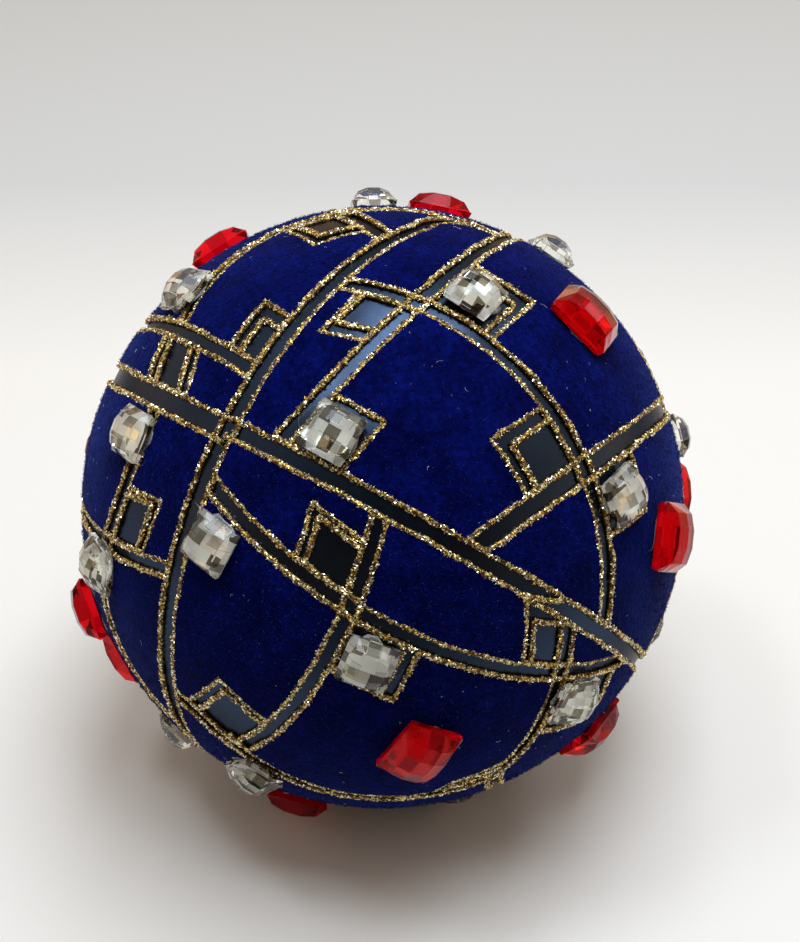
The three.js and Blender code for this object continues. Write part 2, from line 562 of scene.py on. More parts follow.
def lacquer_finish():
    def build(n, shader, where):
        tint = colour(*bpy.context.scene.ornament_looks.lacquer)
        grain = n.grain(where, 700.0)
        n.put(
            shader,
            Base_Color=n.mottle(where, 60.0, tint, brighter(tint, 1.25)),
            Metallic=1.0,
            Specular_Tint=colour(0.56, 0.53, 0.50),
            Roughness=n.spread(grain["Mask"], 0.0, 1.0, 0.24, 0.32),
            Normal=n.bump(grain["Height"], 0.02 * MM, 0.3),
        )

    return finish_of("Dark lacquer", build)


# Colours of the glitter, of the foils' facets and of the glue that carries the glitter, each with its place
# between the rarest dark ones (0) and the bright ones (1). The foils' dark and bright facets are painted
# shade and painted highlight.
FLAKE_GOLD = (
    (0.0, colour(0.028, 0.010, 0.002)),
    (0.20, colour(0.30, 0.13, 0.012)),
    (0.36, colour(1.0, 0.64, 0.11)),
    (0.66, colour(1.0, 0.88, 0.34)),
    (1.0, colour(1.0, 1.0, 0.87)),
)
GLUE_GOLD = (
    (0.0, colour(0.03, 0.015, 0.004)),
    (0.5, colour(0.12, 0.06, 0.014)),
    (0.85, colour(0.45, 0.27, 0.06)),
    (1.0, colour(0.9, 0.7, 0.35)),
)
# a silver foil whose dark brown and white stops are painted facet shade and painted highlight
SILVER_FOIL_AND_PAINTED_FACET_LIGHT = (
    (0.0, colour(0.03, 0.018, 0.008)),
    (0.26, colour(0.13, 0.08, 0.035)),
    (0.36, colour(0.80, 0.82, 0.68)),
    (0.55, colour(1.0, 1.0, 0.93)),
    (1.0, colour(1.0, 1.0, 1.0)),
)
# a red foil whose dark stop is painted facet shade
RED_FOIL_AND_PAINTED_FACET_LIGHT = ((0.0, colour(0.35, 0.02, 0.02)), (1.0, colour(1.0, 0.12, 0.10)))


def glitter_finish(name, stops, by_flake):
    """Gold grains: each flake has one colour, and the glue under them has one in each small cell."""

    def build(n, shader, where):
        if by_flake:
            tone, depth = n.tone(), 0.1
        else:
            cells, split = n.add("TexVoronoi", feature="F1"), n.add("SeparateColor")
            n.put(cells, Vector=where, Scale=2800.0)
            n.put(split, Color=cells.outputs["Color"])
            tone, depth = split.outputs[0], 1.0
        n.put(
            shader,
            Base_Color=n.ramp(tone, stops),
            Metallic=n.spread(tone, 0.3, 0.8, 0.5, 0.95),
            Roughness=n.spread(tone, 0.0, 1.0, 0.45, 0.16),
            Normal=n.bump(n.grain(where, 2500.0)["Height"], 0.15 * MM, depth),
        )

    return finish_of(name, build)


def stone_finish(name, dark, tint, clear, bend, glint):
    """A tinted clear stone, whose facets run from dark to tint: the dark is painted shade, given to each facet by
    its random tone.
    """

    def build(n, shader, where):
        cloud = n.mottle(where, 220.0, tint, brighter(tint, 1.06, 0.005))
        n.put(
            shader,
            # painted facet shade: facets with a low tone take the dark colour
            Base_Color=n.mix(n.spread(n.tone(), 0.14, 0.42), dark, cloud),
            Transmission_Weight=clear,
            IOR=bend,
            Roughness=0.0,
            Specular_Tint=glint,
            Normal=n.bump(n.grain(where, 300.0)["Height"], 0.02 * MM, 0.25),
        )

    return finish_of(name, build)


def foil_finish(name, stops, rough):
    def build(n, shader, where):
        grain, tone = n.grain(where, 700.0), n.tone()
        n.put(
            shader,
            # painted facet shade and highlight: each facet's random tone picks its colour from the stops, and
            # bright facets turn from metal to diffuse so that they stay bright whatever they face
            Base_Color=n.ramp(tone, stops),
            Metallic=n.spread(tone, 0.3, 0.65, 1.0, 0.15),
            Roughness=n.spread(grain["Mask"], 0.0, 1.0, rough, rough * 1.5),
            Normal=n.bump(grain["Height"], 0.03 * MM, 0.4),
        )

    return finish_of(name, build)


def glue_finish():
    def build(n, shader, where):
        grain = n.grain(where, 800.0)
        n.put(
            shader,
            Base_Color=n.mottle(where, 400.0, colour(0.62, 0.6, 0.54), colour(0.9, 0.89, 0.85)),
            Transmission_Weight=0.75,
            IOR=1.48,
            Roughness=n.spread(grain["Mask"], 0.0, 1.0, 0.1, 0.3),
            Normal=n.bump(grain["Height"], 0.05 * MM, 0.5),
        )

    return finish_of("Hot glue", build)


def lint_finish():
    def build(n, shader, where):
        cloud = n.mottle(where, 700.0, colour(0.5, 0.52, 0.6), colour(0.85, 0.86, 0.9))
        n.put(shader, Base_Color=cloud, Roughness=0.6)

    return finish_of("White lint", build)


def floor_finish():
    """A pale floor with painted shade: it turns greyer behind the ball and darker in front of it."""

    def build(n, shader, where):
        depth = n.put(n.add("SeparateXYZ"), Vector=where).outputs["Y"]
        # painted shade: the floor turns greyer far behind the ball
        shade = n.mix(n.spread(depth, 0.13, 0.24), colour(0.84, 0.80, 0.755), colour(0.635, 0.63, 0.62))
        # painted shadow: the floor turns dark in front of the ball
        shade = n.mix(n.spread(depth, -0.065, -0.18), shade, colour(0.2, 0.19, 0.18))
        n.put(
            shader,
            Base_Color=shade,
            Roughness=n.spread(n.grain(where, 40.0)["Mask"], 0.0, 1.0, 0.45, 0.55),
            Specular_IOR_Level=0.3,
        )

    return finish_of("Pale floor with painted shade", build)


# ------------------------------------------------------------------ sizes and looks that a user may change


def length_property(label, about, millimetres):
    default = millimetres * MM
    return bpy.props.FloatProperty(name=label, description=about, default=default, unit="LENGTH", precision=5)


def count_property(label, about, default):
    return bpy.props.IntProperty(name=label, description=about, default=default, min=100)


def colour_property(label, about, *default):
    return bpy.props.FloatVectorProperty(
        name=label, description=about, default=default, subtype="COLOR", size=3, min=0, max=1
    )


class OrnamentSizes(bpy.types.PropertyGroup):
    line_width: length_property("Line width", "Width of a glitter line", 0.96)
    line_rise: length_property("Line rise", "Height of a glitter line's top above the lacquer", 0.66)
    flakes_per_metre: count_property("Flakes per metre", "Glitter flakes on a metre of line", 14500)
    flake_size: length_property("Flake size", "Width of a glitter flake", 0.54)
    fibre_count: count_property("Fibres", "Fibres in each half of the pile", 32000)
    fibre_length: length_property("Fibre length", "Usual length of a fibre of the pile", 0.7)
    fibre_width: length_property("Fibre width", "Width of a fibre of the pile", 0.1)
    clear_width: length_property("Clear stone", "Width of a clear stone", 7.8)
    clear_rise: length_property("Clear stone height", "Height of a clear stone", 3.6)
    red_length: length_property("Red stone", "Length of a red stone", 11.0)
    red_width: length_property("Red stone width", "Width of a red stone", 9.2)
    red_rise: length_property("Red stone height", "Height of a red stone", 4.3)


class OrnamentLooks(bpy.types.PropertyGroup):
    velvet_deep: colour_property("Velvet, deep", "The velvet where its pile lies away", 0.0002, 0.0012, 0.042)
    velvet_lit: colour_property("Velvet, lit", "The velvet where its pile stands up", 0.0008, 0.0031, 0.080)
    # the palest fibres' colour, raised partly as painted sheen
    pale_fibre_and_sheen: colour_property("Fibre tips", "The palest fibres of the pile", 0.026, 0.052, 0.31)
    lacquer: colour_property("Lacquer", "The ball's dark lacquer", 0.027, 0.040, 0.070)
    clear: colour_property("Clear stones", "Tint of the clear stones", 0.955, 0.975, 0.90)
    # the painted shade of the clear stones' dark facets
    clear_painted_shade: colour_property("Clear stones, dark", "Tint of the clear stones' dark facets", 0.075, 0.055, 0.030)
    red: colour_property("Red stones", "Colour of the red stones", 0.80, 0.001, 0.008)
    # the painted shade of the red stones' dark facets
    red_painted_shade: colour_property("Red stones, dark", "Colour of the red stones' dark facets", 0.30, 0.0, 0.003)
    velvet_sheen: bpy.props.FloatProperty(
        name="Velvet sheen",
        description="How strongly the pile's edge catches light",
        default=0.23,
        min=0,
        max=1,
        subtype="FACTOR",
    )


# ------------------------------------------------------------------ pieces


class ORNAMENT_OT_lacquer_ball(bpy.types.Operator):
    """Turns the lacquered ball under the velvet."""

    bl_idname = "ornament.lacquer_ball"
    bl_label = "Lacquered ball"

    def execute(self, context):
        bm = bmesh.new()
        bmesh.ops.create_icosphere(bm, subdivisions=6, radius=LACQUER_RADIUS, matrix=Matrix.Translation(CENTRE))
        piece = new_piece("lacquer_ball", mesh_of(bm, "lacquer_ball"), "lacquer", lacquer_finish(), smooth=True)
        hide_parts("ball")
        return {"FINISHED"}


CUT_ROOM = 0.045  # how far beside a cut, in radians, the faces are looked at
CUT_SLACK = 0.01 * MM
MERGE_SLACK = 0.03 * MM
WALL_ANGLE = math.radians(40)  # sharper edges than this are shaded as edges


def cut_along(bm, ring, inside):
    """Cuts the faces near a ring, where inside says so, along the ring's plane."""
    heads = unit(as_array([v.co for v in bm.verts]))
    near = (np.abs(away_from(ring.axis, heads) - math.acos(ring.level)) < CUT_ROOM) & inside(heads)
    faces = {f for v, chosen in zip(bm.verts, near) if chosen for f in v.link_faces}
    if not faces:
        return
    parts = [*faces, *{e for f in faces for e in f.edges}, *{v for f in faces for v in f.verts}]
    place = ring.axis * ring.level * VELVET_FOOT
    bmesh.ops.bisect_plane(bm, geom=parts, dist=CUT_SLACK, plane_co=place, plane_no=ring.axis)
    for v in bm.verts:
        v.co = v.co.normalized() * VELVET_FOOT


def along_band(way):
    def inside(heads):
        turn = way.turns_of(heads)
        return (turn > -CUT_ROOM * 2) & (turn < way.sweep + CUT_ROOM * 2)

    return inside


def near_window(corner):
    return lambda heads: heads @ np.array(corner.crossing) > math.cos(WINDOW_REACH)


class ORNAMENT_OT_velvet(bpy.types.Operator):
    """Cuts the velvet patches that lie between the bands and the windows."""

    bl_idname = "ornament.velvet"
    bl_label = "Velvet patches"

    def execute(self, context):
        bm = bmesh.new()
        bmesh.ops.create_icosphere(bm, subdivisions=6, radius=VELVET_FOOT)
        gap = VELVET_GAP / LACQUER_RADIUS
        for way in WAYS.values():
            for side in (1, -1):
                cut_along(bm, way.ring(side * (way.half_width + gap)), along_band(way))
        for window in WINDOWS:
            corner = Corner(window, window.outer)
            for way, ring in corner.sides:
                out = gap if math.acos(ring.level) > math.acos(way.level) else -gap
                cut_along(bm, Ring(ring.axis, math.cos(math.acos(ring.level) + out)), near_window(corner))
        bmesh.ops.remove_doubles(bm, verts=bm.verts[:], dist=MERGE_SLACK)
        middles = unit(as_array([f.calc_center_median() for f in bm.faces]))
        bare = is_bare(middles, VELVET_GAP)
        bmesh.ops.delete(bm, geom=[f for f, gone in zip(bm.faces, bare) if gone], context="FACES")
        for part in bmesh.ops.extrude_face_region(bm, geom=bm.faces[:])["geom"]:
            if isinstance(part, bmesh.types.BMVert):
                part.co = part.co.normalized() * VELVET_RADIUS
        bmesh.ops.recalc_face_normals(bm, faces=bm.faces[:])
        set_on_ball(bm)
        finish = velvet_finish("Royal velvet", with_pale_fibres_and_sheen=False)
        piece = new_piece("velvet_patches", mesh_of(bm, "velvet_patches"), "velvet", finish, smooth=True)
        piece.data.set_sharp_from_angle(angle=WALL_ANGLE)
        return {"FINISHED"}


BASE_SLACK = 0.05 * MM


def stone_seats():
    """(node name, place, normal, long axis) of each stone, read from its solid in the frame."""
    seats = []
    for name, node in sorted(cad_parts.items()):
        if name == "ball":
            continue
        corners = [Vector(c) for c in sorted({tuple(round(c, 7) for c in v.co) for v in node.data.vertices})]
        normal = (sum(corners, Vector()) / len(corners) - CENTRE).normalized()
        low = min(normal.dot(c - CENTRE) for c in corners)
        base = [c for c in corners if normal.dot(c - CENTRE) < low + BASE_SLACK]
        place = sum(base, Vector()) / len(base)
        east = normal.orthogonal().normalized()
        north = normal.cross(east)
        base.sort(key=lambda c: math.atan2(north.dot(c - place), east.dot(c - place)))
        edges = [b - a for a, b in zip(base, base[1:] + base[:1])]
        seats.append((name, place, normal, max(edges, key=lambda e: e.length).normalized()))
    return seats


def under_a_stone(heads, reach):
    """Which unit directions lie within reach of a stone's middle."""
    hidden = np.zeros(len(heads), bool)
    for _, place, normal, _ in stone_seats():
        hidden |= heads @ np.array(normal) > math.cos(reach / LACQUER_RADIUS)
    return hidden


def scattered(rng, count):
    """Unit directions spread evenly over the ball, apart from its flat spot."""
    heads = unit(rng.normal(size=(count, 3)))
    return heads[centred(heads, VELVET_RADIUS)[:, 2] > FLOOR_ROOM]


def leaning_axes(rng, heads, lean_low, lean_high):
    """(along, side, up) unit rows: each along leans off the surface by a random angle, in a random direction."""
    loose = unit(np.cross(heads, unit(rng.normal(size=heads.shape))))
    lean = rng.uniform(lean_low, lean_high, len(heads))[:, None]
    along = np.cos(lean) * loose + np.sin(lean) * heads
    side = unit(np.cross(heads, along))
    return along, side, np.cross(along, side)


FLOOR_ROOM = 0.6 * MM  # no fibre or lint is set lower than this
PILE_GAP = 0.42 * MM  # between a glitter line's middle and the pile
STONE_FOOT = 2.6 * MM  # the pile is pressed away this far round a stone's middle
ROOT_DEPTH = 0.08 * MM
FIBRE_BEND = 1.6  # how far a fibre's middle is bent off, in half widths


def fibre_shape():
    """A three sided fibre from 0 to 1 along Z, widest below its middle and bent to one side."""
    fibre = bmesh.new()
    tip = Matrix.Translation((0, 0, 0.7))
    bmesh.ops.create_cone(fibre, cap_ends=False, segments=3, radius1=1, radius2=0, depth=0.6, matrix=tip)
    tail = bmesh.ops.extrude_edge_only(fibre, edges=[e for e in fibre.edges if e.is_boundary])["geom"]
    tail = [v for v in tail if isinstance(v, bmesh.types.BMVert)]
    bmesh.ops.translate(fibre, verts=tail, vec=(0, 0, -0.4))
    bmesh.ops.pointmerge(fibre, verts=tail, merge_co=(0, 0, 0))
    for v in fibre.verts:
        v.co.x += FIBRE_BEND * math.sin(math.pi * v.co.z)
    bmesh.ops.recalc_face_normals(fibre, faces=fibre.faces[:])
    return fibre


class ORNAMENT_OT_pile(bpy.types.Operator):
    """Lays the fibres of the velvet's pile."""

    bl_idname = "ornament.pile"
    bl_label = "Velvet pile"

    def execute(self, context):
        sizes = context.scene.ornament_sizes
        fibre = fibre_shape()
        for name, seed in (("velvet_pile_low", 11), ("velvet_pile_high", 12)):
            rng = np.random.default_rng(seed)
            heads = np.empty((0, 3))
            while len(heads) < sizes.fibre_count:
                more = scattered(rng, sizes.fibre_count)
                more = more[~is_bare(more, PILE_GAP) & ~under_a_stone(more, STONE_FOOT)]
                heads = np.concatenate([heads, more])
            heads = heads[: sizes.fibre_count]
            along, side, up = leaning_axes(rng, heads, 0.1, 0.7)
            long = sizes.fibre_length * rng.uniform(0.6, 1.3, len(heads))[:, None]
            wide = sizes.fibre_width * rng.uniform(0.7, 1.2, len(heads))[:, None] / 2
            axes = np.stack([side * wide, up * wide, along * long], axis=1)
            roots, tone = centred(heads, VELVET_RADIUS - ROOT_DEPTH), rng.beta(1.2, 4.0, len(heads))
            mesh = joined_copies(name, fibre, axes, roots, {"tone": tone})
            new_piece(name, mesh, "velvet", velvet_finish("Velvet fibres", with_pale_fibres_and_sheen=True))
        fibre.free()
        return {"FINISHED"}


GLUE_SINK = 0.1 * MM  # how deep a glue line's section reaches into the lacquer
GLUE_STEP = 0.9 * MM


# These shifts give a line's stray along X, Y and Z each its own noise, the same in every run.
STRAY_SHIFTS = (Vector((0, 0, 0)), Vector((31.7, 0, 0)), Vector((0, 57.3, 0)))


def stray_at(p):
    return Vector([noise.noise(p + shift) for shift in STRAY_SHIFTS])


def uneven(p):
    """How far a hand drawn line strays and swells at p, in metres."""
    stray = stray_at(p * 260.0) * 0.16 * MM + stray_at(p * 900.0) * 0.07 * MM
    return stray + p.normalized() * noise.noise(p * 1400.0) * 0.14 * MM


def line_middle(sizes):
    return LACQUER_RADIUS + sizes.line_rise / 2 - GLUE_SINK


def line_radius(line):
    return math.sqrt(1 - line.ring.level**2) * LACQUER_RADIUS


def at_line(line, share):
    return Matrix.Rotation(line.angle * share, 3, line.ring.axis) @ line.start


class ORNAMENT_OT_glitter_glue(bpy.types.Operator):
    """Draws the raised glue lines that carry the glitter."""

    bl_idname = "ornament.glitter_glue"
    bl_label = "Glitter glue lines"

    def execute(self, context):
        sizes = context.scene.ornament_sizes
        whole = bmesh.new()
        for line in all_lines():
            bm = bmesh.new()
            tangent = line.ring.axis.cross(line.start).normalized()
            up = line.start.normalized()
            turn = Matrix((up.cross(tangent), up, tangent)).transposed().to_4x4()
            place = Matrix.Translation(up * line_middle(sizes)) @ turn
            section = place @ Matrix.Diagonal((sizes.line_width / 2, sizes.line_rise / 2 + GLUE_SINK, 1, 1))
            rim = bmesh.ops.create_circle(bm, cap_ends=True, segments=8, radius=1, matrix=section)["verts"]
            bmesh.ops.spin(
                bm,
                geom=[*rim, *{e for v in rim for e in v.link_edges}, *{f for v in rim for f in v.link_faces}],
                cent=(0, 0, 0),
                axis=line.ring.axis,
                angle=line.angle,
                steps=max(2, round(abs(line.angle) * line_radius(line) / GLUE_STEP)),
                use_merge=False,
            )
            bmesh.ops.recalc_face_normals(bm, faces=bm.faces[:])
            add_part(whole, bm)
        for v in whole.verts:
            v.co += uneven(v.co)
        set_on_ball(whole)
        finish = glitter_finish("Glitter in glue", GLUE_GOLD, by_flake=False)
        new_piece("glitter_glue", mesh_of(whole, "glitter_glue"), "glitter", finish, smooth=True)
        return {"FINISHED"}


FLAKE_SEED = 21
FLAKE_ROUND = 1.25  # how far round its line, in radians, a flake may sit
FLAKE_LIFT = 0.12 * MM
FLAKE_LOW = 0.3 * MM  # lower flakes would pass the floor


class ORNAMENT_OT_glitter_flakes(bpy.types.Operator):
    """Strews the glitter flakes over the glue lines."""

    bl_idname = "ornament.glitter_flakes"
    bl_label = "Glitter flakes"

    def execute(self, context):
        sizes = context.scene.ornament_sizes
        rng = np.random.default_rng(FLAKE_SEED)
        heads, outs = [], []
        for line in all_lines():
            count = round(abs(line.angle) * line_radius(line) * sizes.flakes_per_metre)
            for share in rng.random(count):
                head = at_line(line, share)
                heads.append(head)
                outs.append(line.ring.axis.cross(head).cross(head).normalized())
        heads, outs = as_array(heads), as_array(outs)
        around = rng.uniform(-FLAKE_ROUND, FLAKE_ROUND, len(heads))[:, None]
        normals = np.cos(around) * heads + np.sin(around) * outs
        reach = sizes.line_width / 2 * np.sin(around) * 1.02
        reach += rng.normal(scale=0.07 * MM, size=reach.shape)
        rise = line_middle(sizes) + (sizes.line_rise / 2 + FLAKE_LIFT) * np.cos(around)
        places = heads * rise + outs * reach
        places = places + as_array([uneven(Vector(p)) for p in places]) + np.array(CENTRE)
        tilted = unit(normals + rng.normal(scale=0.5, size=normals.shape))
        side = unit(np.cross(tilted, unit(rng.normal(size=tilted.shape))))
        wide = sizes.flake_size / 2 * rng.uniform(0.65, 1.25, len(heads))[:, None]
        axes = np.stack([side * wide, np.cross(tilted, side) * wide, tilted * (wide * 0.4)], axis=1)
        tone = rng.beta(0.50, 0.42, len(heads))
        keep = places[:, 2] > FLAKE_LOW
        axes, places, tone = axes[keep], places[keep], tone[keep]
        flake = bmesh.new()
        bmesh.ops.create_cone(flake, cap_ends=True, segments=3, radius1=1, radius2=0, depth=1)
        order, half = rng.permutation(len(places)), len(places) // 2
        finish = glitter_finish("Glitter flakes", FLAKE_GOLD, by_flake=True)
        for name, part in (("glitter_flakes_a", order[:half]), ("glitter_flakes_b", order[half:])):
            mesh = joined_copies(name, flake, axes[part], places[part], {"tone": tone[part]})
            new_piece(name, mesh, "glitter", finish)
        flake.free()
        return {"FINISHED"}


CORNER_CUT = 0.4 * MM
EDGE_BEVEL = 0.04 * MM
BEVELS_FROM = 0.4 * MM  # edges below this height stay sharp, against the glue
FOIL_BELOW = 0.45 * MM  # facets of the back lie below this height
BACK_SHARE = 0.92  # the back's width against the stone's


def cut_corners(bm, half_x, half_y):
    """Takes the four corners off an upright block."""
    for x in (1, -1):
        for y in (1, -1):
            point = Vector((x * (half_x - CORNER_CUT / 2), y * (half_y - CORNER_CUT / 2), 0))
            bmesh.ops.bisect_plane(
                bm,
                geom=bm.verts[:] + bm.edges[:] + bm.faces[:],
                dist=0.001 * MM,
                plane_co=point,
                plane_no=Vector((x, y, 0)).normalized(),
                clear_outer=True,
            )
            bmesh.ops.edgenet_fill(bm, edges=[e for e in bm.edges if e.is_boundary])


def soften_edges(bm):
    edges = [e for e in bm.edges if min(v.co.z for v in e.verts) > BEVELS_FROM and e.calc_face_angle(0) > 0.12]
    bmesh.ops.bevel(
        bm, geom=edges, offset=EDGE_BEVEL, affect="EDGES", segments=1, profile=0.5, material=-1, clamp_overlap=True
    )


def mark_foil(bm):
    """Gives the back its foil: the second material."""
    for f in bm.faces:
        f.material_index = int(f.normal.z < -0.6 and f.calc_center_median().z < FOIL_BELOW)


def chequered(bm, length, width, level, lines):
    """A grid of flat facets at level. lines are its lines from the middle outwards: each one's share of the half
    length or half width, and the millimetres that it drops. The last line drops evenly, as a straight rim."""
    for v in bmesh.ops.create_grid(bm, x_segments=5, y_segments=5, size=0.5)["verts"]:
        across, down = (min(2, round(abs(c) * 5 + 0.5) - 1) for c in v.co.xy)
        drop = lines[2][1] if max(across, down) == 2 else lines[across][1] + lines[down][1]
        x, y = lines[across][0] * length / 2, lines[down][0] * width / 2
        v.co = (math.copysign(x, v.co.x), math.copysign(y, v.co.y), level - drop * MM)


def cut_stone(length, width, rise, crown, back):
    """A stone with a chequered dome of flat facets down to a straight rim, and a chequered foil back."""
    bm = bmesh.new()
    chequered(bm, length, width, rise, crown)
    chequered(bm, length * BACK_SHARE, width * BACK_SHARE, 0.0, back)
    bmesh.ops.bridge_loops(bm, edges=[e for e in bm.edges if e.is_boundary])
    cut_corners(bm, length / 2, width / 2)
    bmesh.ops.recalc_face_normals(bm, faces=bm.faces[:])
    soften_edges(bm)
    mark_foil(bm)
    return bm


# the lines of each crown and back: share of the half width, and millimetres of drop
CLEAR_CROWN = ((0.27, 0.0), (0.68, 0.65), (1.0, 2.6))
CLEAR_BACK = ((0.24, -0.10), (0.64, -0.26), (1.0, 0.0))
RED_CROWN = ((0.27, 0.0), (0.72, 0.65), (1.0, 3.1))
RED_BACK = ((0.30, -0.06), (0.66, -0.14), (1.0, 0.0))


def set_stones(kind, seed, *materials):
    """Sets a copy of the seed stone at each seat of its kind."""
    seats = [s for s in stone_seats() if s[0].startswith(kind)]
    if not seats:
        raise RuntimeError("the frame has no " + kind)
    places = as_array([place for _, place, _, _ in seats])
    axes = np.array([[tuple(long), tuple(normal.cross(long)), tuple(normal)] for _, _, normal, long in seats])
    rng = np.random.default_rng(len(seats))
    # each facet's random tone sets how much painted shade and painted highlight it takes in the acrylic and foil
    # finishes
    mesh = joined_copies(kind + "s_cut", seed, axes, places, facet_marks={"tone": rng.random})
    seed.free()
    piece = new_piece(kind + "s_cut", mesh, kind, *materials)
    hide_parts(*[name for name, _, _, _ in seats])


class ORNAMENT_OT_clear_stones(bpy.types.Operator):
    """Sets the clear stones."""

    bl_idname = "ornament.clear_stones"
    bl_label = "Clear stones"

    def execute(self, context):
        sizes, looks = context.scene.ornament_sizes, context.scene.ornament_looks
        shape = cut_stone(sizes.clear_width, sizes.clear_width, sizes.clear_rise, CLEAR_CROWN, CLEAR_BACK)
        dark, tint, glint = colour(*looks.clear_painted_shade), colour(*looks.clear), colour(0.8, 0.8, 0.8)
        acrylic = stone_finish("Clear acrylic with painted facet shade", dark, tint, 0.94, 1.49, glint)
        set_stones("clear_stone", shape, acrylic, foil_finish("Silver foil with painted facet shade and highlight", SILVER_FOIL_AND_PAINTED_FACET_LIGHT, 0.08))
        return {"FINISHED"}


class ORNAMENT_OT_red_stones(bpy.types.Operator):
    """Sets the red stones."""

    bl_idname = "ornament.red_stones"
    bl_label = "Red stones"

    def execute(self, context):
        sizes, looks = context.scene.ornament_sizes, context.scene.ornament_looks
        shape = cut_stone(sizes.red_length, sizes.red_width, sizes.red_rise, RED_CROWN, RED_BACK)
        dark, tint, glint = colour(*looks.red_painted_shade), colour(*looks.red), colour(0.6, 0.22, 0.27)
        acrylic = stone_finish("Red acrylic with painted facet shade", dark, tint, 0.90, 1.38, glint)
        set_stones("red_stone", shape, acrylic, foil_finish("Red foil with painted facet shade and highlight", RED_FOIL_AND_PAINTED_FACET_LIGHT, 0.14))
        return {"FINISHED"}


DAB_WIDTHS = {"clear": 3.5 * MM, "red": 4.0 * MM}  # half of what each kind of stone hides
DAB_DEPTH = 0.32 * MM
DAB_HEIGHT = 0.3 * MM


class ORNAMENT_OT_glue(bpy.types.Operator):
    """Puts a dab of hot glue under each stone."""

    bl_idname = "ornament.glue"
    bl_label = "Hot glue dabs"

    def execute(self, context):
        bm = bmesh.new()
        for name, place, normal, long in stone_seats():
            wide = DAB_WIDTHS[name.split("_")[0]]
            turn = Matrix((long, normal.cross(long), normal)).transposed().to_4x4()
            shape = Matrix.Translation(place - normal * DAB_DEPTH) @ turn
            shape = shape @ Matrix.Diagonal((wide * 1.15, wide, DAB_HEIGHT, 1))
            for v in bmesh.ops.create_uvsphere(bm, u_segments=16, v_segments=8, radius=1, matrix=shape)["verts"]:
                out = v.co - place
                out -= normal * out.dot(normal)
                v.co += out * 0.28 * noise.noise(v.co * 420.0)
        new_piece("glue_dabs", mesh_of(bm, "glue_dabs"), "glue", glue_finish(), smooth=True)
        return {"FINISHED"}


HAIR_FLOAT = 0.15 * MM
LINT_GAP = 0.3 * MM
LINT_TRIES, LINT_COUNT = 1500, 420
LINT_BEND, GLUE_HAIR_BEND = 6.0, 22.0  # how far a hair's ends are bent off, in half widths
BESIDE_STONE = 0.095  # where the glue hairs lie, in radians from the stone's middle


def strewn_hairs(name, rng, heads, long, wide, bend):
    """One mesh of thin bent hairs that lie on the velvet."""
    hair = bmesh.new()
    bmesh.ops.create_cone(hair, cap_ends=True, segments=4, radius1=0.6, radius2=0.6, depth=1)
    runs = [e for e in hair.edges if abs(e.verts[0].co.z - e.verts[1].co.z) > 0.5]
    bmesh.ops.subdivide_edges(hair, edges=runs, cuts=6, use_grid_fill=True)
    for v in hair.verts:
        v.co.x += bend * math.cos(math.pi * v.co.z)
    along, side, up = leaning_axes(rng, heads, -0.1, 0.35)
    axes = np.stack([side * wide, up * wide, along * long], axis=1)
    mesh = joined_copies(name, hair, axes, centred(heads, VELVET_RADIUS + HAIR_FLOAT))
    hair.free()
    return mesh


class ORNAMENT_OT_lint(bpy.types.Operator):
    """Strews a little lint over the velvet, and the thin hairs that hot glue leaves beside the stones."""

    bl_idname = "ornament.lint"
    bl_label = "Lint and glue hairs"

    def execute(self, context):
        rng = np.random.default_rng(31)
        heads = scattered(rng, LINT_TRIES)
        heads = heads[~is_bare(heads, LINT_GAP)][:LINT_COUNT]
        long = rng.uniform(0.1, 1.0, len(heads))[:, None] ** 8 * 1.6 * MM + 0.09 * MM
        wide = rng.uniform(0.018, 0.045, len(heads))[:, None] * MM
        new_piece("lint", strewn_hairs("lint", rng, heads, long, wide, LINT_BEND), "velvet", lint_finish())
        heads = np.repeat(as_array([normal for _, _, normal, _ in stone_seats()]), 2, axis=0)
        heads = unit(heads + BESIDE_STONE * unit(np.cross(heads, rng.normal(size=heads.shape))))
        long = rng.uniform(1.2, 4.2, len(heads))[:, None] * MM
        wide = rng.uniform(0.02, 0.04, len(heads))[:, None] * MM
        hairs = strewn_hairs("glue_hairs", rng, heads, long, wide, GLUE_HAIR_BEND)
        new_piece("glue_hairs", hairs, "glue", glue_finish())
        return {"FINISHED"}


# ------------------------------------------------------------------ stage

PHOTO_WIDTH, PHOTO_HEIGHT = 800, 942
BALL_IMAGE_X, BALL_IMAGE_Y, BALL_IMAGE_RADIUS = 383.0, 506.0, 300.5
CAMERA_RADII = 6.0  # the camera's distance from the ball's centre, in radii of the ball
SENSOR = 36.0
FLOOR_RADIUS = 4.0

Lamp = namedtuple("Lamp", "name place target width depth watts tint")
LAMPS = (
    Lamp("overhead softbox", (0.085, -0.015, 0.75), (0, 0, 0.03), 0.60, 0.36, 4.75, (0.78, 0.89, 1.0)),
    Lamp("small lamp", (-0.24, -0.06, 0.68), (0, 0, 0.03), 0.16, 0.10, 0.75, (0.80, 0.90, 1.0)),
    Lamp("side lamp", (0.48, 0.25, 0.52), (0, 0, 0.05), 0.2, 0.14, 0.35, (0.85, 0.93, 1.0)),
)


